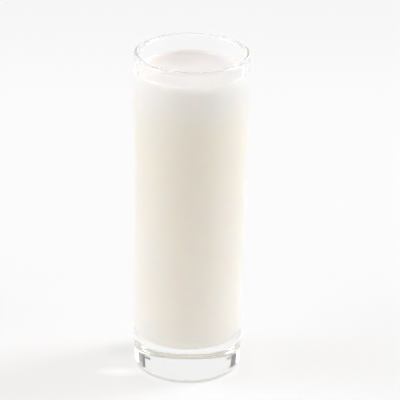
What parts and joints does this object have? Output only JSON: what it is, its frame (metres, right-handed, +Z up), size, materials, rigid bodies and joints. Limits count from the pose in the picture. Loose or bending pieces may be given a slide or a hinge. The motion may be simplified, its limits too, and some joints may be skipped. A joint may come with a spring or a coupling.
{
  "type": "glass of ayran",
  "caption": "Tall slim straight-sided clear drinking glass with a thick base, filled almost to the rim with ayran, a white salted yoghurt drink.",
  "frame": {"origin": "centre of the foot, on the surface that the glass stands on", "axes": "+Z up along the axis of the glass; X and Y are any two level directions, because the part is round"},
  "size_m": [0.06, 0.06, 0.1752],
  "materials": {
    "clear_glass": "clear, fire-polished",
    "ayran": "smooth opaque milky liquid"
  },
  "bodies": {
    "root": {"glass": "clear_glass", "ayran": "ayran"}
  },
  "joints": []
}
